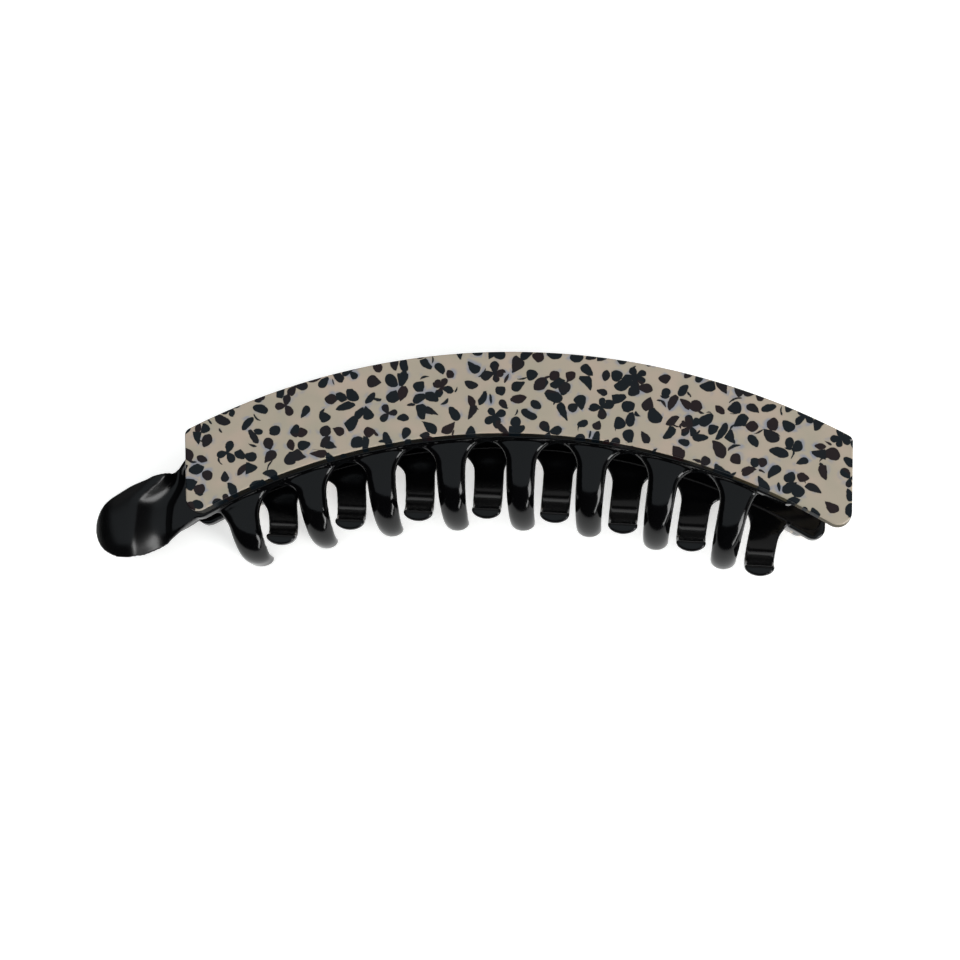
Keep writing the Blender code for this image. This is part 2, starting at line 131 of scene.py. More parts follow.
# Outlines of the arc bands

outlineSteps = {"arc": 110, "corner": 10, "rounding": 3}


def cornerCentre(radius, centreY, endX, fillet, inside):
    x = endX - math.copysign(fillet, endX)
    reach = radius - fillet if inside else radius + fillet
    return (x, centreY + math.sqrt(reach * reach - x * x))


def bandOutline(outer, inner, left, right, outerFillet, innerFillet, lean=0.0):
    arcSteps, cornerSteps = outlineSteps["arc"], outlineSteps["corner"]
    corners = {}
    for name, end, lowEnd in (("left", left, left + lean), ("right", right, right)):
        top = cornerCentre(outer, outerCentreY, end, outerFillet, True)
        low = cornerCentre(inner, innerCentreY, lowEnd, innerFillet, False)
        topAngle = math.atan2(top[1] - outerCentreY, top[0])
        lowAngle = math.atan2(low[1] - innerCentreY, low[0])
        corners[name] = (top, topAngle, low, lowAngle)
    top, topAngle, low, lowAngle = corners["right"]
    leftTop, leftTopAngle, leftLow, leftLowAngle = corners["left"]
    places = arc(low, innerFillet, lowAngle - math.pi, 0.0, cornerSteps)
    places += arc(top, outerFillet, 0.0, topAngle, cornerSteps)
    places += arc((0.0, outerCentreY), outer, topAngle, leftTopAngle, arcSteps)[1:-1]
    places += arc(leftTop, outerFillet, leftTopAngle, math.pi, cornerSteps)
    places += arc(leftLow, innerFillet, math.pi, leftLowAngle + math.pi, cornerSteps)
    places += arc((0.0, innerCentreY), inner, leftLowAngle, lowAngle, arcSteps)[1:-1]
    return places


def slab(name, outline, depth, thickness, rounding=0.0):  # outer face at the depth
    curve = bpy.data.curves.new(name, "CURVE")
    curve.dimensions = "2D"
    curve.fill_mode = "BOTH"
    curve.extrude = thickness / 2 - rounding
    curve.bevel_depth = rounding
    curve.bevel_resolution = outlineSteps["rounding"]
    curve.offset = -rounding
    spline = curve.splines.new("POLY")
    spline.points.add(len(outline) - 1)
    for point, (x, y) in zip(spline.points, outline):
        point.co = (x, y, 0.0, 1.0)
    spline.use_cyclic_u = True
    carrier = newObject(name + "Curve", curve)
    bpy.context.view_layer.update()
    evaluated = carrier.evaluated_get(bpy.context.evaluated_depsgraph_get())
    item = newObject(name, bpy.data.meshes.new_from_object(evaluated))
    bpy.data.objects.remove(carrier, do_unlink=True)
    item.data.materials.clear()
    item.data.transform(Matrix.Translation(armPoint(0.0, 0.0, depth + thickness / 2)))
    return faceOutward(item)


def loft(name, rings):
    form = bmesh.new()
    layers = [[form.verts.new(place) for place in ring] for ring in rings]
    count = len(rings[0])
    for first, second in zip(layers, layers[1:]):
        for index in range(count):
            following = (index + 1) % count
            form.faces.new((first[index], first[following], second[following], second[index]))
    form.faces.new(layers[0])
    form.faces.new(layers[-1])
    return faceOutward(formObject(name, form))


def cylinderAlongY(name, radius, length, y, sides):
    form = bmesh.new()
    bmesh.ops.create_cone(form, cap_ends=True, segments=sides, radius1=radius, radius2=radius,
                          depth=length)
    item = formObject(name, form)
    item.data.transform(Matrix.Translation((0.0, y, 0.0)) @ Matrix.Rotation(math.pi / 2, 4, "X"))
    return item


def joinPieces(name, items):
    form = bmesh.new()
    for item in items:
        form.from_mesh(item.data)
    for item in items:
        bpy.data.objects.remove(item, do_unlink=True)
    return formObject(name, form)


# Node helpers, for shader and geometry trees alike

def feed(tree, socket, value):
    if isinstance(value, bpy.types.NodeSocket):
        tree.links.new(value, socket)
    else:
        socket.default_value = value


def calc(tree, operation, *values):
    node = tree.nodes.new("ShaderNodeMath")
    node.operation = operation
    for socket, value in zip(node.inputs, values):
        feed(tree, socket, value)
    return node.outputs[0]


def chain(tree, operation, first, *others):
    result = first
    for other in others:
        result = calc(tree, operation, result, other)
    return result


def blendValues(tree, low, high, share):
    return calc(tree, "MULTIPLY_ADD", calc(tree, "SUBTRACT", high, low), share, low)


def limit(tree, value, low, high):
    return calc(tree, "MINIMUM", calc(tree, "MAXIMUM", value, low), high)


def combine(tree, x, y, z):
    node = tree.nodes.new("ShaderNodeCombineXYZ")
    for socket, value in zip(node.inputs, (x, y, z)):
        feed(tree, socket, value)
    return node.outputs[0]


def separate(tree, vector):
    node = tree.nodes.new("ShaderNodeSeparateXYZ")
    tree.links.new(vector, node.inputs[0])
    return node.outputs


def vectorCalc(tree, operation, *values):
    node = tree.nodes.new("ShaderNodeVectorMath")
    node.operation = operation
    for socket, value in zip(node.inputs, values):
        feed(tree, socket, value)
    return node.outputs["Value" if operation == "LENGTH" else "Vector"]


socketKinds = {
    int: "NodeSocketInt",
    float: "NodeSocketFloat",
    bpy.types.Material: "NodeSocketMaterial",
}


def newTree(name, values):  # a geometry tree with one named input for each value
    tree = bpy.data.node_groups.new(name, "GeometryNodeTree")
    for label, value in values.items():
        kind = socketKinds[type(value)]
        socket = tree.interface.new_socket(name=label, in_out="INPUT", socket_type=kind)
        if type(value) is not bpy.types.Material:
            socket.default_value = value
    tree.interface.new_socket(name="Geometry", in_out="OUTPUT", socket_type="NodeSocketGeometry")
    groupIn = tree.nodes.new("NodeGroupInput")
    return tree, {socket.name: socket for socket in groupIn.outputs if socket.name}


def moved(tree, geometry, place):
    move = tree.nodes.new("GeometryNodeSetPosition")
    tree.links.new(geometry, move.inputs["Geometry"])
    tree.links.new(place, move.inputs["Position"])
    return move.outputs[0]


def closeTree(tree, geometry, material):  # realized and with its material
    realize = tree.nodes.new("GeometryNodeRealizeInstances")
    finish = tree.nodes.new("GeometryNodeSetMaterial")
    groupOut = tree.nodes.new("NodeGroupOutput")
    tree.links.new(geometry, realize.inputs["Geometry"])
    tree.links.new(realize.outputs[0], finish.inputs["Geometry"])
    tree.links.new(material, finish.inputs["Material"])
    tree.links.new(finish.outputs[0], groupOut.inputs[0])


def runTree(name, tree, values):  # evaluates a tree into a plain mesh object
    item = newObject(name, bpy.data.meshes.new(name))
    modifier = item.modifiers.new(name, "NODES")
    modifier.node_group = tree
    for socket in tree.interface.items_tree:
        if socket.in_out == "INPUT":
            modifier[socket.identifier] = values[socket.name]
    return finishMesh(item)


# Materials

def newMaterial(name, color, roughness, metallic=0.0):
    material = bpy.data.materials.new(name)
    material.use_nodes = True
    shader = material.node_tree.nodes["Principled BSDF"]
    shader.inputs["Base Color"].default_value = (*color, 1.0)
    shader.inputs["Roughness"].default_value = roughness
    shader.inputs["Metallic"].default_value = metallic
    return material


def objectPlace(tree, scale):
    source = tree.nodes.new("ShaderNodeTexCoord")
    mapping = tree.nodes.new("ShaderNodeMapping")
    mapping.inputs["Scale"].default_value = (scale, scale, scale)
    tree.links.new(source.outputs["Object"], mapping.inputs["Vector"])
    return mapping.outputs[0]


def noise(tree, vector, scale, detail):
    node = tree.nodes.new("ShaderNodeTexNoise")
    node.inputs["Scale"].default_value = scale
    node.inputs["Detail"].default_value = detail
    tree.links.new(vector, node.inputs["Vector"])
    return node.outputs["Fac"]


def ramp(tree, value, low, high):
    node = tree.nodes.new("ShaderNodeMapRange")
    node.interpolation_type = "SMOOTHSTEP"
    feed(tree, node.inputs["Value"], value)
    feed(tree, node.inputs["From Min"], low)
    feed(tree, node.inputs["From Max"], high)
    return node.outputs["Result"]


def mixColors(tree, share, first, second):
    node = tree.nodes.new("ShaderNodeMix")
    node.data_type = "RGBA"
    feed(tree, node.inputs[0], share)
    for socket, value in ((node.inputs[6], first), (node.inputs[7], second)):   # its color sockets
        feed(tree, socket, (*value, 1.0) if isinstance(value, tuple) else value)
    return node.outputs[2]


plasticValues = {
    "color": (0.0014, 0.0014, 0.0016),
    "roughness": 0.13,
    "paddleRoughness": 0.27,
    "paddleReach": (-60.5, -57.0),   # X in mm over which the paddle's satin turns to the comb's gloss
    "specular": 0.27,
    "waveSize": 0.28,       # waves in the moulded skin, per mm
    "waveDetail": 1.0,
    "waveHeight": 0.000012,
}

perMillimetre = 1000.0      # turns the object's metres into the millimetres of the values below


def makePlastic():
    values = plasticValues
    material = newMaterial("blackPlastic", values["color"], values["roughness"])
    tree = material.node_tree
    shader = tree.nodes["Principled BSDF"]
    shader.inputs["Specular IOR Level"].default_value = values["specular"]
    place = objectPlace(tree, perMillimetre)
    share = ramp(tree, separate(tree, place)[0], *values["paddleReach"])
    satin = blendValues(tree, values["paddleRoughness"], values["roughness"], share)
    tree.links.new(satin, shader.inputs["Roughness"])
    bump = tree.nodes.new("ShaderNodeBump")
    bump.inputs["Distance"].default_value = values["waveHeight"]
    bump.inputs["Strength"].default_value = 1.0
    tree.links.new(noise(tree, place, values["waveSize"], values["waveDetail"]), bump.inputs["Height"])
    tree.links.new(bump.outputs[0], shader.inputs["Normal"])
    return material


chipValues = {
    # single chips; sizes in mm, a pair is the lowest and the highest value
    "spacing": 2.72,
    "randomness": 0.82,
    "halfLength": (0.80, 1.74),
    "halfWidth": (0.535, 1.02),
    "sharpness": (0.40, 0.78),   # how soon a chip narrows to its ends
    "taper": (-0.65, 0.65),
    "bend": 0.16,                # crescents bow either way by up to this, per mm
    "merge": 0.03,               # how far neighbouring chips reach over their border, in spacings
    "edgeGrain": 1.5,            # waves in a chip's edge, per mm
    "edgeDetail": 2.0,
    "edgeRoughness": 0.30,
    "edgeBlur": (-0.07, 0.05),   # a chip fades in between these depths inside its edge
    "outside": 9.0,              # takes a place out of every chip
    # bunches of petals
    "bunchSpacing": 8.4,
    "bunchRandomness": 0.75,
    "bunchShare": 0.6,
    "bunchRoom": 2.3,            # kept clear of single chips
    "petals": 3.0,
    "morePetals": 2.2,           # rounded down after a random share of it is taken
    "petalLean": 0.5,            # range of a petal's own turn, in radians
    "petalSize": (0.62, 1.04),
    "petalReach": 1.15,          # these are in petal sizes
    "petalHalfLength": 1.18,
    "petalHalfWidth": 0.78,
    "petalSharpness": 0.6,
    "petalTaper": 0.35,
    # slivers
    "sliverSpacing": 4.1,
    "sliverShift": (31.7, 12.3, 0.0),
    "sliverRandomness": 1.0,
    "sliverHalfLength": (0.5, 1.15),
    "sliverHalfWidth": (0.12, 0.30),
    "sliverBend": 0.5,
    "sliverShare": 0.8,
    # ground and its soft patches: waves per mm, where the noise starts and ends, and shift
    "base": (0.398, 0.340, 0.262),
    "greenBase": (0.370, 0.328, 0.250),
    "green": {"waves": 0.17, "detail": 1.0, "range": (0.30, 0.62), "shift": (0.0, 0.0, 0.0)},
    "pinkBase": (0.434, 0.348, 0.273),
    "pink": {"waves": 0.20, "detail": 1.0, "range": (0.40, 0.72), "shift": (7.0, 50.0, 3.0)},
    "hazeColor": (0.258, 0.263, 0.295),
    "haze": {"waves": 0.34, "detail": 2.0, "range": (0.51, 0.66), "shift": (90.0, 4.0, 0.0)},
    "hazeReach": (-0.9, -0.1),   # haze keeps near the chips
    "blueChip": (0.0022, 0.0050, 0.0075),
    "brownChip": (0.0125, 0.0055, 0.0062),
    "brownShare": (0.45, 0.95),
    # surface of the matt face, the polished rim and the dull cut edge
    "roughness": {"face": 0.34, "rim": 0.13, "edge": 0.45},
    "specular": {"face": 0.26, "rim": 0.42, "edge": 0.04},
    # painted shade: the cut edge's pattern is dimmed and warmed by this tint, and is near black up to X =
    # 24 mm, because that wall lies in shade
    "cutEdgeShadeTint": (0.17, 0.16, 0.11),
    "cutEdgeShadeColor": (0.010, 0.009, 0.007),
    "cutEdgeShadeReach": (24.0, 44.0),   # X in mm over which the cut edge's painted shade turns from near black to the dimmed brown pattern
}


def voronoi(tree, vector, scale, randomness, feature="F1"):
    node = tree.nodes.new("ShaderNodeTexVoronoi")
    node.voronoi_dimensions = "2D"
    node.feature = feature
    node.inputs["Scale"].default_value = scale
    node.inputs["Randomness"].default_value = randomness
    tree.links.new(vector, node.inputs["Vector"])
    return node


def whiteNoise(tree, vector):
    node = tree.nodes.new("ShaderNodeTexWhiteNoise")
    node.noise_dimensions = "3D"
    tree.links.new(vector, node.inputs["Vector"])
    return separate(tree, node.outputs["Color"])


def turned(tree, vector, angle):
    node = tree.nodes.new("ShaderNodeVectorRotate")
    node.rotation_type = "Z_AXIS"
    tree.links.new(vector, node.inputs["Vector"])
    feed(tree, node.inputs["Angle"], angle)
    return separate(tree, node.outputs[0])


def chipForm(tree, x, y, halfLength, halfWidth, sharpness, taper, bend):
    # How far inside one chip a place is: an oval, leaf, drop or crescent along its own x
    do = partial(calc, tree)
    u = do("DIVIDE", x, halfLength)
    rest = do("MAXIMUM", do("SUBTRACT", 1.0, do("MULTIPLY", u, u)), 0.0)
    profile = do("POWER", rest, sharpness)
    drop = do("MULTIPLY_ADD", taper, u, 1.0)
    edge = chain(tree, "MULTIPLY", profile, drop, halfWidth)
    bow = do("MULTIPLY_ADD", do("MULTIPLY", x, x), bend, y)
    past = do("MAXIMUM", do("SUBTRACT", do("ABSOLUTE", u), 1.0), 0.0)
    return chain(tree, "SUBTRACT", edge, do("ABSOLUTE", bow), past)


def singleChips(tree, place, spacing, randomness, length, width, bendRange):
    values = chipValues
    cell = voronoi(tree, place, 1.0 / spacing, randomness)
    border = voronoi(tree, place, 1.0 / spacing, randomness, "DISTANCE_TO_EDGE")
    centre = cell.outputs["Position"]
    first = separate(tree, cell.outputs["Color"])
    second = whiteNoise(tree, centre)
    local = vectorCalc(tree, "SUBTRACT", place, centre)
    x, y, _ = turned(tree, local, calc(tree, "MULTIPLY", first[0], math.tau))
    form = chipForm(
        tree, x, y,
        blendValues(tree, *length, first[1]),
        blendValues(tree, *width, first[2]),
        blendValues(tree, *values["sharpness"], second[0]),
        blendValues(tree, *values["taper"], second[1]),
        blendValues(tree, -bendRange, bendRange, second[2]))
    reach = calc(tree, "ADD", border.outputs["Distance"], values["merge"])
    clear = calc(tree, "MULTIPLY", reach, spacing)
    return calc(tree, "MINIMUM", form, clear), centre, second


def petalBunches(tree, place):
    values = chipValues
    do = partial(calc, tree)
    cell = voronoi(tree, place, 1.0 / values["bunchSpacing"], values["bunchRandomness"])
    centre = cell.outputs["Position"]
    first = separate(tree, cell.outputs["Color"])
    local = vectorCalc(tree, "SUBTRACT", place, centre)
    x, y, _ = turned(tree, local, do("MULTIPLY", first[1], math.tau))
    more = do("FLOOR", do("MULTIPLY", first[2], values["morePetals"]))
    petals = do("ADD", values["petals"], more)
    sector = do("DIVIDE", math.tau, petals)
    angle = do("ARCTAN2", y, x)
    number = do("ROUND", do("DIVIDE", angle, sector))
    folded = do("SUBTRACT", angle, do("MULTIPLY", number, sector))
    radius = vectorCalc(tree, "LENGTH", combine(tree, x, y, 0.0))
    own = whiteNoise(tree, vectorCalc(tree, "ADD", centre, combine(tree, 0.0, 0.0, number)))
    lean = do("MULTIPLY_ADD", own[1], values["petalLean"], -values["petalLean"] / 2)
    away = do("ADD", folded, lean)
    along = do("MULTIPLY", radius, do("COSINE", away))
    across = do("MULTIPLY", radius, do("SINE", away))
    smallest, largest = values["petalSize"]
    size = do("MULTIPLY_ADD", own[0], largest - smallest, smallest)
    middle = do("MULTIPLY", size, values["petalReach"])
    form = chipForm(
        tree, do("SUBTRACT", along, middle), across,
        do("MULTIPLY", size, values["petalHalfLength"]),
        do("MULTIPLY", size, values["petalHalfWidth"]),
        values["petalSharpness"], values["petalTaper"], 0.0)
    absent = do("GREATER_THAN", first[0], values["bunchShare"])
    return do("SUBTRACT", form, do("MULTIPLY", absent, values["outside"]))


def patches(tree, place, name):  # one of the ground's soft patches
    own = chipValues[name]
    if any(own["shift"]):
        place = vectorCalc(tree, "ADD", place, combine(tree, *own["shift"]))
    return ramp(tree, noise(tree, place, own["waves"], own["detail"]), *own["range"])


def makeAcetate(name, kind):  # the sheet's matt face, its polished rim or its dull cut edge, which carries painted shade
    values = chipValues
    material = newMaterial(name, values["base"], values["roughness"][kind])
    # the cut edge's colours are multiplied down by a painted shade tint
    shade = values["cutEdgeShadeTint"] if kind == "edge" else (1.0, 1.0, 1.0)

    def withEdgeShade(color):
        return tuple(part * tint for part, tint in zip(color, shade))

    tree = material.node_tree
    do = partial(calc, tree)
    shader = tree.nodes["Principled BSDF"]
    shader.inputs["Specular IOR Level"].default_value = values["specular"][kind]
    place = objectPlace(tree, perMillimetre)
    chips, centre, own = singleChips(tree, place, values["spacing"], values["randomness"],
                                     values["halfLength"], values["halfWidth"], values["bend"])
    bunches = petalBunches(tree, place)
    near = voronoi(tree, centre, 1.0 / values["bunchSpacing"], values["bunchRandomness"])
    nearColor = separate(tree, near.outputs["Color"])
    room = do("MULTIPLY", near.outputs["Distance"], values["bunchSpacing"])
    crowded = do("MULTIPLY", do("LESS_THAN", room, values["bunchRoom"]),
                 do("LESS_THAN", nearColor[0], values["bunchShare"]))
    chips = do("SUBTRACT", chips, do("MULTIPLY", crowded, values["outside"]))
    sliverPlace = vectorCalc(tree, "ADD", place, combine(tree, *values["sliverShift"]))
    slivers, _, sliverOwn = singleChips(
        tree, sliverPlace, values["sliverSpacing"], values["sliverRandomness"],
        values["sliverHalfLength"], values["sliverHalfWidth"], values["sliverBend"])
    absent = do("GREATER_THAN", sliverOwn[1], values["sliverShare"])
    inside = chain(tree, "MAXIMUM", chips, bunches, do("SUBTRACT", slivers, absent))
    grain = noise(tree, place, values["edgeGrain"], values["edgeDetail"])
    rough = do("SUBTRACT", grain, 0.5)
    inside = do("MULTIPLY_ADD", rough, values["edgeRoughness"], inside)
    mask = ramp(tree, inside, *values["edgeBlur"])

    ground = mixColors(tree, patches(tree, place, "green"),
                       withEdgeShade(values["greenBase"]), withEdgeShade(values["base"]))
    ground = mixColors(tree, patches(tree, place, "pink"), ground, withEdgeShade(values["pinkBase"]))
    haze = do("MULTIPLY", patches(tree, place, "haze"), ramp(tree, inside, *values["hazeReach"]))
    ground = mixColors(tree, haze, ground, withEdgeShade(values["hazeColor"]))
    # painted shade: the cut edge turns near black towards the middle and the left
    if kind == "edge":
        share = ramp(tree, separate(tree, place)[0], *values["cutEdgeShadeReach"])
        ground = mixColors(tree, share, values["cutEdgeShadeColor"], ground)
    brown = ramp(tree, own[0], *values["brownShare"])
    chip = mixColors(tree, brown, values["blueChip"], values["brownChip"])
    tree.links.new(mixColors(tree, mask, ground, chip), shader.inputs["Base Color"])
    return material


plastic = makePlastic()
acetate = makeAcetate("patternedAcetate", "face")
acetateRim = makeAcetate("acetatePolishedRim", "rim")
acetateShadedEdge = makeAcetate("acetateShadedCutEdge", "edge")
steelValues = {"color": (0.62, 0.62, 0.62), "roughness": 0.26, "metallic": 1.0}
steel = newMaterial("steel", **steelValues)
print("materials made")


# Plates

plateValues = {
    "thickness": 0.0025,
    "upper": {"left": -0.0572, "right": 0.0535, "lean": 0.0013},
    "lower": {"left": -0.0524, "right": 0.0496, "lean": 0.0},
    "convexCorner": 0.0012,
    "concaveCorner": 0.0022,
    "edgeRounding": 0.00035,
    "faceWeight": 80,        # how far the flat faces lead the shading
    "faceFlatness": 0.98,    # |normal Z| down to which a face belongs to the matt face
    "rimFlatness": 0.5,      # and down to which it belongs to the polished rim
}


def makePlate(name, arm):
    values = plateValues
    own = values[arm]
    outline = bandOutline(clip["outerRadius"], clip["innerRadius"], own["left"], own["right"],
                          values["convexCorner"], values["concaveCorner"], own["lean"])
    plate = slab(name, outline, 0.0, values["thickness"], values["edgeRounding"])
    plate.data.shade_smooth()
    weighted = plate.modifiers.new("weighted", "WEIGHTED_NORMAL")
    weighted.weight = values["faceWeight"]
    weighted.keep_sharp = True
    finishMesh(plate)
    plate.data.materials.append(acetate)
    plate.data.materials.append(acetateRim)
    # the upper plate's cut edge takes the material with painted shade
    plate.data.materials.append(acetateShadedEdge if arm == "upper" else acetateRim)
    for face in plate.data.polygons:
        flatness = abs(face.normal.z)
        isRim, isEdge = flatness < values["faceFlatness"], flatness < values["rimFlatness"]
        face.material_index = int(isRim) + int(isEdge)
    return placeOnArm(plate, arm)


upperPlate = makePlate("upperPlate", "upper")
lowerPlate = makePlate("lowerPlate", "lower")
print("plates made")


# Teeth: eight in a row, each bent down from its root to its tip

toothValues = {              # the names are the inputs of the geometry tree
    "Teeth": 8,
    "Pitch": 0.011304,
    "First tooth": -0.04555,     # X of its tip
    "Arc radius": clip["innerRadius"],
    "Arc centre": innerCentreY,
    "Tip line Y": -0.02094,      # the tips stand on a shallow arc
    "Tip line X": -0.0020,
    "Tip line radius": 0.1195,
    "Fan": 4.8,                  # share by which the roots stand further apart, per metre
    "Crest depth": 0.00336,
    "Tip depth": 0.0134,
    "Bend start": 0.0038,
    "Root start": 0.0006,
    "Rim": 0.0002,
    "Flare length": 0.0040,      # quarter round in which neighbouring roots meet
    "Flare overlap": 0.00012,
    "Flare follow": 1.7,         # flare lengths over which a root follows the plate's edge
    "End flare": 0.0006,
    "First tooth widening": 0.0,
    "Root width": 0.0052,
    "Tip width": 0.0042,
    "Root thickness": 0.0021,
    "Tip thickness": 0.0018,
    "Shoulder": 0.0004,
    "Root squareness": 0.50,
    "Tip squareness": 1.15,
    "End rounding": 0.0004,
    "Rows": 96,
    "Around": 44,
    "Hinge X": clip["hingeX"],
    "Hinge height": clip["hingeHeight"],
    "Material": plastic,
}


def toothTree(values):
    tree, put = newTree("combTeeth", values)
    do = partial(calc, tree)
    line = tree.nodes.new("GeometryNodeMeshLine")
    tree.links.new(put["Teeth"], line.inputs["Count"])
    line.inputs["Offset"].default_value = (2.0, 0.0, 0.0)
    grid = tree.nodes.new("GeometryNodeMeshGrid")
    grid.inputs["Size X"].default_value = 1.0
    grid.inputs["Size Y"].default_value = 1.0
    tree.links.new(put["Rows"], grid.inputs["Vertices X"])
    tree.links.new(put["Around"], grid.inputs["Vertices Y"])
    copies = tree.nodes.new("GeometryNodeInstanceOnPoints")
    tree.links.new(line.outputs[0], copies.inputs["Points"])
    tree.links.new(grid.outputs[0], copies.inputs["Instance"])
    realize = tree.nodes.new("GeometryNodeRealizeInstances")
    tree.links.new(copies.outputs[0], realize.inputs["Geometry"])

    # a flat grid stands for each tooth, two units from the last: rows run down it, columns round it
    x, y, _ = separate(tree, tree.nodes.new("GeometryNodeInputPosition").outputs[0])
    number = do("ROUND", do("MULTIPLY", x, 0.5))
    row = do("ADD", do("MULTIPLY_ADD", number, -2.0, x), 0.5)
    turn = do("MULTIPLY", do("ADD", y, 0.5), math.tau)
    oneRow = do("DIVIDE", 1.0, do("SUBTRACT", put["Rows"], 1.0))
    inner = do("SUBTRACT", row, oneRow)                  # the first and last rows close the ends
    span = do("MULTIPLY_ADD", oneRow, -2.0, 1.0)
    share = limit(tree, do("DIVIDE", inner, span), 0.0, 1.0)
    half = do("MULTIPLY", oneRow, 0.5)
    isOpen = do("MULTIPLY", do("GREATER_THAN", row, half),
                do("LESS_THAN", row, do("SUBTRACT", 1.0, half)))

    def edgeAt(place):  # the plate's concave edge
        squared = do("SUBTRACT", do("POWER", put["Arc radius"], 2.0), do("MULTIPLY", place, place))
        return do("ADD", put["Arc centre"], do("SQRT", squared))

    # the way down a tooth: straight, a bend, and straight again if depth is left
    tipX = do("MULTIPLY_ADD", put["Pitch"], number, put["First tooth"])
    rootY = edgeAt(tipX)
    away = do("SUBTRACT", tipX, put["Tip line X"])
    fall = do("DIVIDE", do("MULTIPLY", away, away), do("MULTIPLY", put["Tip line radius"], 2.0))
    tipY = do("SUBTRACT", put["Tip line Y"], fall)
    reach = chain(tree, "SUBTRACT", rootY, tipY, put["Bend start"])
    depthFall = do("SUBTRACT", put["Tip depth"], put["Crest depth"])
    cosine = do("MAXIMUM", do("SUBTRACT", 1.0, do("DIVIDE", depthFall, reach)), 0.0)
    bend = do("ARCCOSINE", cosine)
    straight = do("ADD", put["Bend start"], put["Root start"])
    bendLength = do("MULTIPLY", reach, bend)
    bentDepth = do("MULTIPLY", reach, do("SUBTRACT", 1.0, do("COSINE", bend)))
    end = do("MAXIMUM", do("SUBTRACT", depthFall, bentDepth), 0.0)
    total = chain(tree, "ADD", straight, bendLength, end)
    run = do("MULTIPLY", share, total)
    lean = limit(tree, do("DIVIDE", do("SUBTRACT", run, straight), reach), 0.0, bend)
    flatRun = do("MINIMUM", run, straight)
    faceY = chain(tree, "SUBTRACT", do("ADD", rootY, put["Root start"]), flatRun,
                  do("MULTIPLY", reach, do("SINE", lean)))
    endRun = do("MAXIMUM", chain(tree, "SUBTRACT", run, straight, bendLength), 0.0)
    bowed = do("MULTIPLY", reach, do("SUBTRACT", 1.0, do("COSINE", lean)))
    faceDepth = chain(tree, "ADD", put["Crest depth"], bowed, endRun)

    # width and thickness, rounded off at the tip
    left = do("SUBTRACT", total, run)
    nearEnd = do("SUBTRACT", 1.0, do("DIVIDE", left, put["End rounding"]))
    nearEnd = limit(tree, nearEnd, 0.0, 1.0)
    rounded = do("SQRT", do("SUBTRACT", 1.0, do("MULTIPLY", nearEnd, nearEnd)))
    shrink = do("MULTIPLY", do("SUBTRACT", 1.0, rounded), put["End rounding"])
    width = blendValues(tree, put["Root width"], put["Tip width"], share)
    thickness = blendValues(tree, put["Root thickness"], put["Tip thickness"], share)
    squareness = blendValues(tree, put["Root squareness"], put["Tip squareness"], share)
    isFirst = do("LESS_THAN", number, 0.5)
    isLast = do("GREATER_THAN", number, do("SUBTRACT", put["Teeth"], 1.5))
    width = do("MULTIPLY", width, do("MULTIPLY_ADD", isFirst, put["First tooth widening"], 1.0))
    fan = do("MULTIPLY_ADD", put["Fan"], do("SUBTRACT", faceY, tipY), 1.0)

    # roots widen in a quarter round until they meet under the rim
    onLeft = do("LESS_THAN", do("COSINE", turn), 0.0)
    onRight = do("SUBTRACT", 1.0, onLeft)
    atEnd = do("ADD", do("MULTIPLY", onLeft, isFirst), do("MULTIPLY", onRight, isLast))
    room = do("SUBTRACT", do("MULTIPLY", put["Pitch"], fan), put["Root width"])
    meet = do("MULTIPLY_ADD", room, 0.5, put["Flare overlap"])
    flare = blendValues(tree, meet, put["End flare"], atEnd)
    belowRim = chain(tree, "SUBTRACT", rootY, put["Rim"], faceY)
    drop = limit(tree, do("DIVIDE", belowRim, put["Flare length"]), 0.0, 1.0)
    upward = do("SUBTRACT", 1.0, drop)
    fallen = do("SQRT", do("SUBTRACT", 1.0, do("MULTIPLY", upward, upward)))
    quarter = do("SUBTRACT", 1.0, fallen)
    halfOpen = do("MULTIPLY_ADD", flare, quarter, do("MULTIPLY", width, 0.5))
    halfWidth = do("MULTIPLY", do("SUBTRACT", halfOpen, shrink), isOpen)
    across = do("MULTIPLY", halfWidth, do("COSINE", turn))

    # the section is flat on the outer face and crowned on the inner one
    outward = do("MAXIMUM", do("SINE", turn), 0.0)
    crown = do("POWER", outward, squareness)
    shoulder = do("MULTIPLY", do("GREATER_THAN", outward, nearZero), put["Shoulder"])
    body = chain(tree, "SUBTRACT", thickness, do("MULTIPLY", shrink, 2.0), put["Shoulder"])
    rise = do("MULTIPLY", do("MULTIPLY_ADD", crown, body, shoulder), isOpen)
    inward = chain(tree, "SUBTRACT", thickness, shrink, rise)
    placeY = do("MULTIPLY_ADD", inward, do("SINE", lean), faceY)
    placeDepth = do("MULTIPLY_ADD", inward, do("COSINE", lean), faceDepth)
    placeX = do("MULTIPLY_ADD", tipX, fan, across)
    followReach = do("MULTIPLY", put["Flare length"], put["Flare follow"])
    follow = do("SUBTRACT", 1.0, ramp(tree, belowRim, 0.0, followReach))
    placeY = do("MULTIPLY_ADD", do("SUBTRACT", edgeAt(placeX), rootY), follow, placeY)
    place = combine(tree, do("SUBTRACT", placeX, put["Hinge X"]), placeY,
                    do("SUBTRACT", put["Hinge height"], placeDepth))
    merge = tree.nodes.new("GeometryNodeMergeByDistance")
    merge.inputs["Distance"].default_value = 2 * clip["mergeDistance"]
    tree.links.new(moved(tree, realize.outputs[0], place), merge.inputs["Geometry"])
    closeTree(tree, merge.outputs[0], put["Material"])
    return tree


combTeeth = toothTree(toothValues)


# Comb body

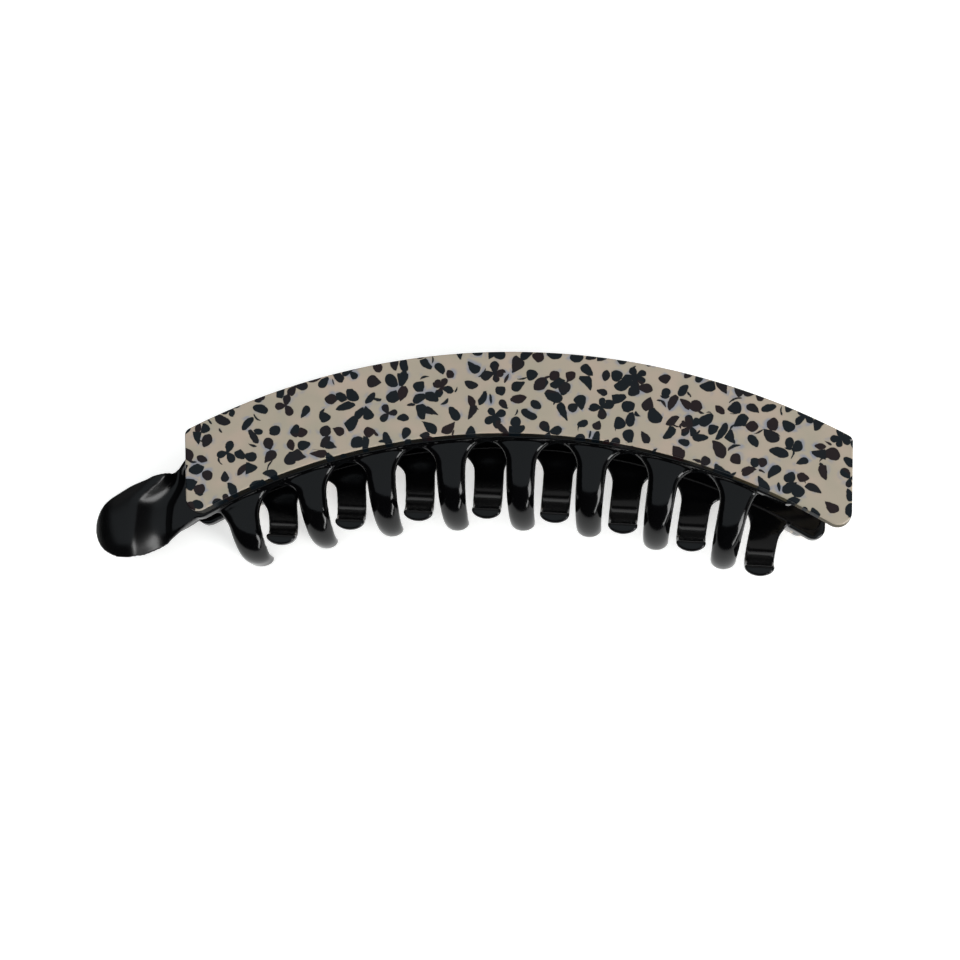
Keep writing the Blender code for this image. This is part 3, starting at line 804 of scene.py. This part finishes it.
combValues = {
    "spineDepth": 0.0028,
    "spineThickness": 0.0020,
    "spineInset": 0.0018,
    "rim": 0.0002,
    "spineLeft": -0.0562,
    "tongueEnd": {"upper": 0.04555, "lower": 0.0512},
    "tongueCorner": 0.0020,
    "innerRim": 0.0008,      # width of the raised rim on the inner face
    "innerRecess": 0.00035,
    "recessStart": 0.0020,   # the recess starts this far inside the spine's hinge end
    "recessCorner": 0.0013,
    "recessRounding": 0.0002,
    "cutterThickness": 0.002,
    "voxel": 0.00023,
    "softening": 5,
    "softeningShare": 0.5,
    "changes": {             # what differs from toothValues
        "upper": {"First tooth widening": 0.12},
        "lower": {"Tip width": 0.0049, "Bend start": 0.0018,
                  "First tooth": toothValues["First tooth"] + toothValues["Pitch"] / 2},
    },
}

paddleValues = {
    "upper": {"halfWidth": 0.0055, "end": 0.0063, "shift": 0.00078, "neckTrim": 0.0},
    "lower": {"halfWidth": 0.0042, "end": 0.0045, "shift": 0.0020, "neckTrim": 0.0014},
    "x": -0.0652,
    "y": -0.0249,
    "angle": math.radians(215.5),
    "thickness": 0.0018,
    # reach of the neck to its convex and concave side, at places along it
    "neckAlong": (-0.0150, -0.0142, -0.0101, -0.0070, -0.0028, 0.0),
    "neckUpper": (0.0064, 0.00624, 0.00484, 0.0056, 0.0062, 0.00628),
    "neckLower": (0.0041, 0.00415, 0.00428, 0.0044, 0.0048, 0.00472),
    "ownFrom": -0.0070,      # from here on each paddle takes its own width
    "domeRise": 0.0003,
    "domeDrop": (0.0004, 0.0016),   # fall to the edge, on the convex side and on the other
    "domePower": 3.0,
    "dropSpread": 0.8,       # how soon the fall changes from one side to the other
    "endLean": 0.5,          # how far the rounded end takes the larger fall
    "domeStart": -0.0085,    # the dome swells over a length of the neck from here
    "domeLength": 0.006,
    "leastThickness": 0.0004,
    "padDepth": 0.0007,
    "ridgeDepth": 0.0012,
    "ridgeRound": 0.0014,
    "slopeHollow": 1.8,
    "footDepth": 0.00375,
    "seatDepth": 0.0029,
    "seatLength": 0.0017,
    # X of the ridge and of the foot of the slope, and how both bend away on the convex side
    "ridgeX": -0.0643,
    "footX": -0.0603,
    "bends": {               # Y where a bend starts, its length and its shift in X
        "ridge": ((-0.0212, 0.0059, 0.0043),),
        "foot": ((-0.0212, 0.0050, 0.0015), (-0.0148, 0.0035, 0.0015)),
    },
    # steps of the loft, and how far the top and the bottom reach to the sides of a ring
    "neckSteps": 70,
    "endSteps": 24,
    "endAngle": math.radians(86),
    "topSteps": 30,
    "topSpan": 0.99,
    "bottomSteps": 12,
    "bottomSpan": 0.96,
    "sideLevels": (0.35, 0.75),
}

lugValues = {
    "radius": 0.0019,
    "width": 0.0012,
    "gap": 0.0003,
    "span": 0.0092,
    "webReach": 0.0010,
    "webSink": 0.0010,
    "bore": 0.0008,
    "boreReach": 1.3,        # in spans
    "steps": 24,
    "sides": 48,
}


def tableValue(places, values, place):
    if place <= places[0]:
        return values[0]
    for index in range(len(places) - 1):
        if place <= places[index + 1]:
            share = smoothStep((place - places[index]) / (places[index + 1] - places[index]))
            return values[index] + (values[index + 1] - values[index]) * share
    return values[-1]


def bentX(name, y):
    x = paddleValues[name + "X"]
    for start, length, shift in paddleValues["bends"][name]:
        x += shift * smoothStep((y - start) / length)
    return x


def faceDepth(x, y):  # pad, ridge, slope down to the foot, and seat beside the plate
    values = paddleValues
    ridge, foot = bentX("ridge", y), bentX("foot", y)
    if x <= ridge:
        share = max(0.0, 1.0 - (ridge - x) / values["ridgeRound"])
        return values["padDepth"] + (values["ridgeDepth"] - values["padDepth"]) * share * share
    if x <= foot:
        share = 1.0 - (1.0 - (x - ridge) / (foot - ridge)) ** values["slopeHollow"]
        return values["ridgeDepth"] + (values["footDepth"] - values["ridgeDepth"]) * share
    share = smoothStep((x - foot) / values["seatLength"])
    return values["footDepth"] + (values["seatDepth"] - values["footDepth"]) * share


def paddleRing(along, upper, lower, endShare, swell):
    values = paddleValues
    run = (math.cos(values["angle"]), math.sin(values["angle"]))
    across = (run[1], -run[0])

    def put(share, level):
        offset = (upper - lower) / 2 + share * (upper + lower) / 2
        x = values["x"] + run[0] * along + across[0] * offset
        y = values["y"] + run[1] * along + across[1] * offset
        base = faceDepth(x, y)
        out = math.sqrt(min(1.0, endShare ** 2 + share ** 2 * (1 - endShare ** 2)))
        sideways = (share * (1 - endShare) - values["endLean"] * endShare) / max(out, nearZero)
        high, low = values["domeDrop"]
        drop = high + (low - high) * smoothStep(0.5 - values["dropSpread"] * sideways)
        dome = -values["domeRise"] + (values["domeRise"] + drop) * out ** values["domePower"]
        bottom = base + values["thickness"]
        top = min(base + dome * swell, bottom - values["leastThickness"])
        return armPoint(x, y, top + (bottom - top) * level)

    ring = []
    topSteps, bottomSteps, bottomSpan = values["topSteps"], values["bottomSteps"], values["bottomSpan"]
    for step in range(topSteps + 1):
        ring.append(put(-values["topSpan"] * math.cos(math.pi * step / topSteps), 0.0))
    ring += [put(1.0, level) for level in values["sideLevels"]]
    for step in range(bottomSteps + 1):
        ring.append(put(bottomSpan - 2 * bottomSpan * step / bottomSteps, 1.0))
    ring += [put(-1.0, level) for level in reversed(values["sideLevels"])]
    return ring


def makePaddle(name, arm):
    values = paddleValues
    own = values[arm]
    start = values["neckAlong"][0]
    rings = []
    for step in range(values["neckSteps"] + 1):
        along = start * (1.0 - step / values["neckSteps"])
        widen = smoothStep((along - values["ownFrom"]) / -values["ownFrom"])
        upper = tableValue(values["neckAlong"], values["neckUpper"], along)
        lower = tableValue(values["neckAlong"], values["neckLower"], along) - own["neckTrim"]
        upper += (own["shift"] + own["halfWidth"] - upper) * widen
        lower += (own["halfWidth"] - own["shift"] - lower) * widen
        swell = smoothStep((along - values["domeStart"]) / values["domeLength"])
        rings.append(paddleRing(along, upper, lower, 0.0, swell))
    for step in range(1, values["endSteps"] + 1):
        angle = values["endAngle"] * step / values["endSteps"]
        width = own["halfWidth"] * math.cos(angle)
        rings.append(paddleRing(own["end"] * math.sin(angle), width + own["shift"], width - own["shift"],
                                math.sin(angle), 1.0))
    return loft(name, rings)


def lugBands(arm):
    outermost = lugValues["span"] / 2 - lugValues["width"] / 2
    offset = outermost - (lugValues["width"] + lugValues["gap"] if arm == "upper" else 0.0)
    return (clip["hingeY"] - offset, clip["hingeY"] + offset)


def makeLug(name, y):  # a round ear on the hinge line, with a web up into the neck
    values = lugValues
    outline = []
    for x in (-values["webReach"], 0.0, values["webReach"]):
        surface = clip["hingeHeight"] - faceDepth(clip["hingeX"] + x, y)
        outline.append((x, surface - values["webSink"]))
    outline += arc((0.0, 0.0), values["radius"], 0.0, -math.pi, values["steps"])
    rings = []
    for edge in (-0.5, 0.5):
        rings.append([(x, y + edge * values["width"], z) for x, z in outline])
    return loft(name, rings)


def makeCutters(name, arm, outer, inner):  # inner recess, bore, and room for the other comb's ears
    values = combValues
    lug = lugValues
    rim = values["innerRim"]
    outline = bandOutline(outer - rim, inner + rim, values["spineLeft"] + values["recessStart"],
                          values["tongueEnd"][arm] - rim, values["recessCorner"], values["tongueCorner"])
    depth = values["spineDepth"] + values["spineThickness"] - values["innerRecess"]
    cutters = [
        slab(name + "Recess", outline, depth, values["cutterThickness"], values["recessRounding"]),
        cylinderAlongY(name + "Bore", lug["bore"], lug["span"] * lug["boreReach"], clip["hingeY"],
                       lug["sides"]),
    ]
    for y in lugBands("lower" if arm == "upper" else "upper"):
        cutters.append(cylinderAlongY(name + "Pocket", lug["radius"] + lug["gap"],
                                      lug["width"] + 2 * lug["gap"], y, lug["sides"]))
    return cutters


def makeComb(name, arm):
    values = combValues
    outer = clip["outerRadius"] - values["spineInset"]
    inner = clip["innerRadius"] - values["rim"]
    outline = bandOutline(outer, inner, values["spineLeft"], values["tongueEnd"][arm],
                          values["tongueCorner"], values["tongueCorner"])
    spine = slab(name + "Spine", outline, values["spineDepth"], values["spineThickness"])
    toothInputs = {**toothValues, **values["changes"][arm]}
    teeth = faceOutward(runTree(name + "Teeth", combTeeth, toothInputs))
    parts = [spine, teeth, makePaddle(name + "Paddle", arm)]
    parts += [makeLug(name + "Lug", y) for y in lugBands(arm)]
    comb = joinPieces(name, parts)
    merge = comb.modifiers.new("merge", "REMESH")
    merge.mode = "VOXEL"
    merge.voxel_size = values["voxel"]
    merge.use_smooth_shade = True
    soften = comb.modifiers.new("soften", "SMOOTH")
    soften.factor = values["softeningShare"]
    soften.iterations = values["softening"]
    finishMesh(comb)

    cutters = makeCutters(name, arm, outer, inner)
    for cutter in cutters:
        cut = comb.modifiers.new(cutter.name, "BOOLEAN")
        cut.operation = "DIFFERENCE"
        cut.solver = "MANIFOLD"
        cut.object = cutter
    finishMesh(comb)
    for cutter in cutters:
        bpy.data.objects.remove(cutter, do_unlink=True)
    comb.data.shade_smooth()
    comb.data.set_sharp_from_angle(angle=clip["sharpAngle"])
    placeOnArm(comb, arm)
    comb.data.materials.clear()
    comb.data.materials.append(plastic)
    print(name, "made,", len(comb.data.polygons), "faces")
    return comb


upperComb = makeComb("upperComb", "upper")
lowerComb = makeComb("lowerComb", "lower")


# Pin and spring

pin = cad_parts["hinge_pin"]
pin.data.materials.clear()
pin.data.materials.append(steel)

springValues = {
    "Wire radius": 0.0003,
    "Coil radius": 0.0011,
    "Turns": 3,
    "Points": 150,
    "Coil length": 0.0030,
    "Leg reach": 0.0055,
    "Leg height": 0.0027,
    "Hinge Y": clip["hingeY"],
    "Wire sides": 14,
    "Material": steel,
}


def springTree(values):  # a leg, the coil round the pin and the other leg, round a line along Y
    tree, put = newTree("wireSpring", values)
    do = partial(calc, tree)
    line = tree.nodes.new("GeometryNodeMeshLine")
    tree.links.new(put["Points"], line.inputs["Count"])
    index = tree.nodes.new("GeometryNodeInputIndex").outputs[0]
    last = do("SUBTRACT", put["Points"], 1.0)
    share = do("DIVIDE", do("SUBTRACT", index, 1.0), do("SUBTRACT", last, 2.0))
    share = limit(tree, share, 0.0, 1.0)
    legX = do("MULTIPLY", put["Leg reach"], -1.0)
    reach = do("SQRT", do("ADD", do("POWER", put["Leg reach"], 2.0), do("POWER", put["Leg height"], 2.0)))
    legAngle = do("ARCTAN2", put["Leg height"], legX)
    leave = do("SUBTRACT", legAngle, do("ARCCOSINE", do("DIVIDE", put["Coil radius"], reach)))
    whole = do("MULTIPLY_ADD", put["Turns"], math.tau, do("MULTIPLY", leave, 2.0))
    angle = do("SUBTRACT", do("MULTIPLY", whole, share), leave)
    y = do("MULTIPLY_ADD", put["Coil length"], do("SUBTRACT", share, 0.5), put["Hinge Y"])
    isFirst = do("LESS_THAN", index, 0.5)
    isLast = do("GREATER_THAN", index, do("SUBTRACT", last, 0.5))
    isLeg = do("ADD", isFirst, isLast)
    coilX = do("MULTIPLY", put["Coil radius"], do("COSINE", angle))
    coilZ = do("MULTIPLY", put["Coil radius"], do("SINE", angle))
    legZ = do("MULTIPLY", put["Leg height"], do("SUBTRACT", isLast, isFirst))
    x = blendValues(tree, coilX, legX, isLeg)
    z = blendValues(tree, coilZ, legZ, isLeg)
    path = tree.nodes.new("GeometryNodeMeshToCurve")
    tree.links.new(moved(tree, line.outputs[0], combine(tree, x, y, z)), path.inputs[0])
    section = tree.nodes.new("GeometryNodeCurvePrimitiveCircle")
    tree.links.new(put["Wire sides"], section.inputs["Resolution"])
    tree.links.new(put["Wire radius"], section.inputs["Radius"])
    wire = tree.nodes.new("GeometryNodeCurveToMesh")
    wire.inputs["Fill Caps"].default_value = True
    tree.links.new(path.outputs[0], wire.inputs["Curve"])
    tree.links.new(section.outputs[0], wire.inputs["Profile Curve"])
    closeTree(tree, wire.outputs[0], put["Material"])
    return tree


spring = faceOutward(runTree("spring", springTree(springValues), springValues))
spring.data.transform(hingePlace @ Matrix.Rotation(-clip["restSpread"] / 2, 4, "Y"))
spring.data.shade_smooth()
spring.data.set_sharp_from_angle(angle=clip["sharpAngle"])
print("pin and spring finished")


# Bodies

for piece, body, node, slotName in (
        (upperPlate, "upper_arm", "upper_plate", "plate"),
        (lowerPlate, "lower_arm", "lower_plate", "plate"),
        (upperComb, "upper_arm", "upper_comb", "comb"),
        (lowerComb, "lower_arm", "lower_comb", "comb")):
    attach(piece, body)
    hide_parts(node)
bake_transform(spring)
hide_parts("hinge_spring")


# Floor, lights and camera

studio = {
    "floorSize": 3.0,
    "floorColor": (0.90, 0.895, 0.88),
    "floorRoughness": 0.7,
    "floorPaintedGlow": 0.50,          # painted glow: the paper itself glows round the clip and lifts the shade under it, fading out between the two radii
    "paintedGlowRadii": (0.07, 0.22),
    "room": (0.01, 0.01, 0.011),
    "camera": (0.00647, -0.07393, 0.28324),
    "cameraRight": (0.99745622, 0.06049734, -0.03769835),
    "cameraUp": (-0.05087415, 0.97462601, 0.21798156),
    "lens": 62.35,
    "sensor": 36.0,
    "clipRange": (0.01, 10.0),
}

# each light's place, aim, width and height, and radiance; the fill isn't mirrored in the plastic
lights = {
    "overhead": {"place": (0.0, -0.1175, 0.62), "aim": (0.0, -0.1175, 0.0), "size": (1.30, 0.715),
                 "radiance": 0.62, "color": (0.90, 1.0, 1.06)},
    "window": {"place": (0.903, -0.609, 0.490), "aim": (0.0, 0.0, 0.0), "size": (0.42, 0.58),
               "radiance": 11.0},
    "strip": {"place": (0.684, -0.948, 0.259), "aim": (0.0, 0.0, 0.0), "size": (0.55, 0.12),
              "radiance": 11.0, "roll": math.radians(24)},
    "backLight": {"place": (0.0, 1.30, 0.90), "aim": (0.0, 0.0, 0.0), "size": (3.00, 1.50),
                  "radiance": 0.5},
    "fill": {"place": (0.0, -0.05, 0.90), "aim": (0.0, -0.05, 0.0), "size": (1.80, 1.80),
             "radiance": 0.75, "mirrored": False},
}


def makeFloor():
    form = bmesh.new()
    bmesh.ops.create_grid(form, x_segments=1, y_segments=1, size=studio["floorSize"] / 2)
    floor = formObject("floor", form)
    paper = newMaterial("palePaper", studio["floorColor"], studio["floorRoughness"])
    tree = paper.node_tree
    shader = tree.nodes["Principled BSDF"]
    # painted glow: the paper emits its own colour in a disc round the clip
    shader.inputs["Emission Color"].default_value = (*studio["floorColor"], 1.0)
    distance = vectorCalc(tree, "LENGTH", objectPlace(tree, 1.0))
    fade = calc(tree, "SUBTRACT", 1.0, ramp(tree, distance, *studio["paintedGlowRadii"]))
    tree.links.new(calc(tree, "MULTIPLY", fade, studio["floorPaintedGlow"]), shader.inputs["Emission Strength"])
    floor.data.materials.append(paper)


def makeLight(name, values):
    width, height = values["size"]
    light = bpy.data.lights.new(name, "AREA")
    light.shape = "RECTANGLE"
    light.size = width
    light.size_y = height
    light.energy = values["radiance"] * math.pi * width * height
    light.color = values.get("color", (1.0, 1.0, 1.0))
    item = newObject(name, light)
    item.location = values["place"]
    away = Vector(values["aim"]) - Vector(values["place"])
    item.rotation_mode = "QUATERNION"
    roll = Quaternion((0.0, 0.0, 1.0), values.get("roll", 0.0))
    item.rotation_quaternion = away.to_track_quat("-Z", "Y") @ roll
    item.visible_glossy = values.get("mirrored", True)


def makeCamera():
    data = bpy.data.cameras.new("camera")
    data.sensor_width = studio["sensor"]
    data.lens = studio["lens"]
    data.clip_start, data.clip_end = studio["clipRange"]
    camera = newObject("camera", data)
    right = Vector(studio["cameraRight"]).normalized()
    up = Vector(studio["cameraUp"])
    back = right.cross(up).normalized()
    up = back.cross(right)
    turn = Matrix((right, up, back)).transposed().to_4x4()
    camera.matrix_world = Matrix.Translation(studio["camera"]) @ turn
    bpy.context.scene.camera = camera


makeFloor()
for lightName, lightValues in lights.items():
    makeLight(lightName, lightValues)
makeCamera()
world = bpy.data.worlds.new("room")
world.use_nodes = True
world.node_tree.nodes["Background"].inputs["Color"].default_value = (*studio["room"], 1.0)
bpy.context.scene.world = world
bpy.context.scene.view_settings.view_transform = "Standard"
print("studio made")
